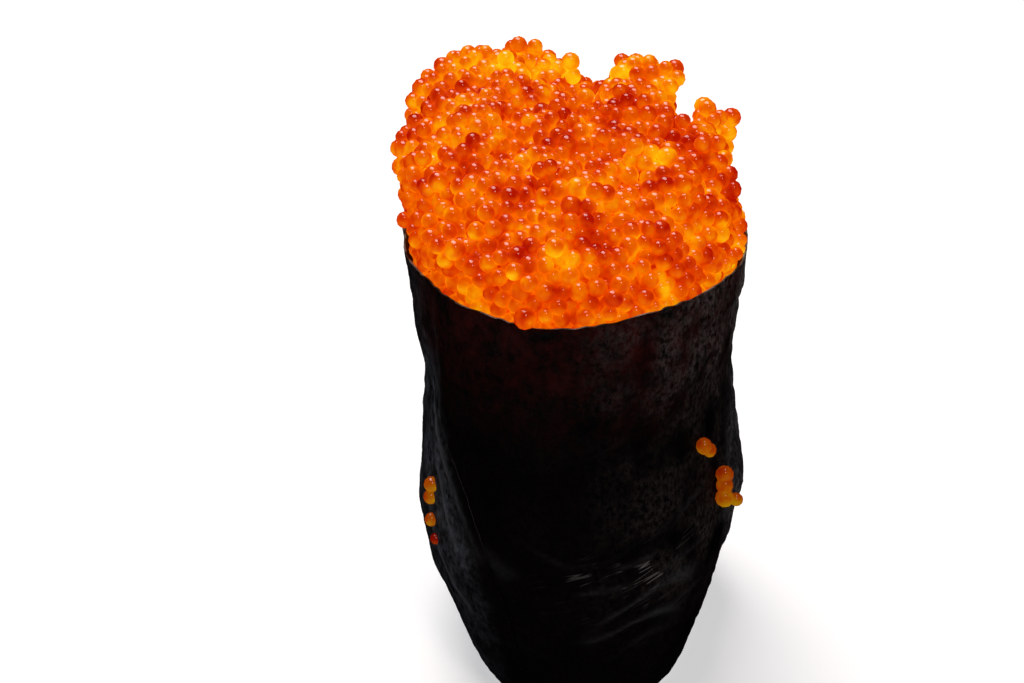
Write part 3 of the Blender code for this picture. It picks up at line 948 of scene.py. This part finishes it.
def makeRice():
    # every grain is a stretched ball lying nearly level, pressed flat where it meets the plate
    spots, rng = riceGrains()
    corners, faces = unitEgg()
    count = len(spots)
    heading = rng.uniform(0.0, np.pi, count)
    dip = rng.normal(0.0, rice["dipSpread"], count)
    long = np.stack([np.cos(heading) * np.cos(dip), np.sin(heading) * np.cos(dip), np.sin(dip)], axis=1)
    across = np.stack([-np.sin(heading), np.cos(heading), np.zeros(count)], axis=1)
    up = np.cross(long, across)
    halves = (rice["length"], rice["width"], rice["width"] * 0.9)
    sizes = rng.normal(1.0, rice["sizeSpread"], (count, 3)) * halves / 1.7
    plump = corners * (1.0 + rice["plump"] * (1.0 - corners[:, :1] ** 2))
    axes = np.stack([long * sizes[:, :1], across * sizes[:, 1:2], up * sizes[:, 2:]], axis=1)
    points = np.einsum("ck,nkj->ncj", plump, axes) + spots[:, None, :]
    points = points.reshape(-1, 3)
    turn = np.arctan2(points[:, 1] / body["halfLength"], points[:, 0] / body["halfWidth"])
    height = np.clip(points[:, 2], 0.0, None)
    wall = ovalPoint(turn, height, wallInset(turn, height) + rice["wall"])
    excess = np.hypot(points[:, 0], points[:, 1]) / np.hypot(wall[:, 0], wall[:, 1])
    points[:, :2] /= np.maximum(excess, 1.0)[:, None]
    points[:, 2] = height
    allFaces = joinedFaces(faces, count, len(corners))
    material = riceMaterial()
    grains = meshPiece("rice_grains", points, allFaces, material)
    print("rice grains:", count, "faces:", len(allFaces))
    columns, rows = 72, 16
    turn = np.linspace(0.0, 2.0 * np.pi, columns, endpoint=False)[None, :]
    level = np.linspace(rice["packedFoot"], riceHigh.z, rows)[:, None]
    turn, level = np.broadcast_arrays(turn, level)
    core = ovalPoint(turn, level, wallInset(turn, level) + rice["wall"] + rice["packed"])
    packed = meshPiece("rice_packed", core.reshape(-1, 3), closedLoft(rows, columns), material)
    for cap in packed.data.polygons[-2:]:
        cap.use_smooth = False
    return [grains, packed]


def riceMaterial():
    # milky grains, a little translucent, slightly warmer in patches
    material, shader, wire = newMaterial(
        "pressedRice", Roughness=0.32, Specular_IOR_Level=0.4, Subsurface_Weight=0.5,
        Subsurface_Radius=(1.0, 0.8, 0.6), Subsurface_Scale=0.0008)
    place = wire.node("ShaderNodeTexCoord", out=3)
    cloud = wire.noise(place, 420.0, 3.0)
    base = ((cloud - 0.35) * 3.0).clamp().mix((0.80, 0.76, 0.66), (0.88, 0.87, 0.83))
    bump = wire.node("ShaderNodeBump", {}, {0: 0.4, 1: 0.00005, 3: cloud})
    wire.feed(shader, Base_Color=base, Normal=bump)
    return material


# Camera, lamps and floor
studio = {
    "lens": 59.4, "place": (0.0053, -0.1329, 0.0883), "lookAt": (-0.0058, 0.0, 0.0273), "roll": -1.3,
    "lampsAim": (0.0, 0.0, 0.04), "lampsAway": 1.0,
    # direction from the heap, angular radius in degrees, stretch, radiance and colour
    "keyLamp": ((-0.15, 0.26, 0.95), 15.0, 1.7, 9.5, (1.0, 0.95, 0.93)),
    "frontLamp": ((0.20, -0.62, 0.76), 5.0, 1.2, 19.0, (1.0, 0.86, 0.74)),
    "floorSize": 6.0, "floorColour": (0.60, 0.60, 0.60, 1.0), "floorLight": 0.55,
    "paleLight": (0.97, 0.98, 1.0, 1.0), "backdropLight": 0.60,
}


def makeCamera():
    # looks down on the low end, turned a little about its own axis
    place = Vector(studio["place"])
    lookAt = Vector(studio["lookAt"])
    roll = math.radians(studio["roll"])
    data = bpy.data.cameras.new("camera")
    data.lens = studio["lens"]
    data.sensor_width = 36.0
    data.clip_start = 0.005
    camera = bpy.data.objects.new("camera", data)
    turned = (lookAt - place).to_track_quat("-Z", "Y").to_matrix().to_4x4()
    camera.matrix_world = Matrix.Translation(place) @ turned @ Matrix.Rotation(roll, 4, "Z")
    bpy.context.scene.collection.objects.link(camera)
    bpy.context.scene.camera = camera


def softLight(name, direction, width, stretch, radiance, colour):
    # oval lamp aimed at the heap; width is its angular radius, stretch makes it longer towards
    # the heap's ends, and power is radiance times pi times the oval's area
    aim = Vector(studio["lampsAim"])
    place = Vector(direction).normalized() * studio["lampsAway"] + aim
    data = bpy.data.lights.new(name, "AREA")
    data.shape = "ELLIPSE"
    data.size = 2.0 * studio["lampsAway"] * math.tan(math.radians(width))
    data.size_y = data.size * stretch
    data.energy = radiance * math.pi * math.pi * data.size * data.size_y / 4.0
    data.color = colour
    light = bpy.data.objects.new(name, data)
    light.location = place
    light.rotation_euler = (aim - place).to_track_quat("-Z", "Y").to_euler()
    bpy.context.scene.collection.objects.link(light)


def makeStudio():
    # a plain pale floor and backdrop, and two soft lamps
    floorMaterial = newMaterial(
        "paleFloor", Roughness=0.8, Specular_IOR_Level=0.1, Emission_Strength=studio["floorLight"],
        Base_Color=studio["floorColour"], Emission_Color=studio["paleLight"])[0]
    bpy.ops.mesh.primitive_plane_add(size=studio["floorSize"])
    floor = bpy.context.object
    floor.name = "floor"
    floor.visible_glossy = False    # the wet surfaces mirror the lamps, not the pale floor
    floor.data.materials.append(floorMaterial)
    world = bpy.data.worlds.new("studio")
    bpy.context.scene.world = world
    world.use_nodes = True
    background = world.node_tree.nodes["Background"]
    background.inputs["Color"].default_value = studio["paleLight"]
    background.inputs["Strength"].default_value = studio["backdropLight"]
    world.cycles_visibility.diffuse = False    # a pale backdrop only: the lamps do the lighting
    world.cycles_visibility.glossy = False
    for name in ("keyLamp", "frontLamp"):
        softLight(name, *studio[name])
    bpy.context.scene.view_settings.view_transform = "Standard"
    print("camera and lamps are set")


makeCamera()
makeStudio()
makeNori()
for grains in makeRice():
    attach(grains, "root")
    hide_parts("rice_core")
for roe in makeEggs():
    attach(roe, "root")
    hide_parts("roe_heap")
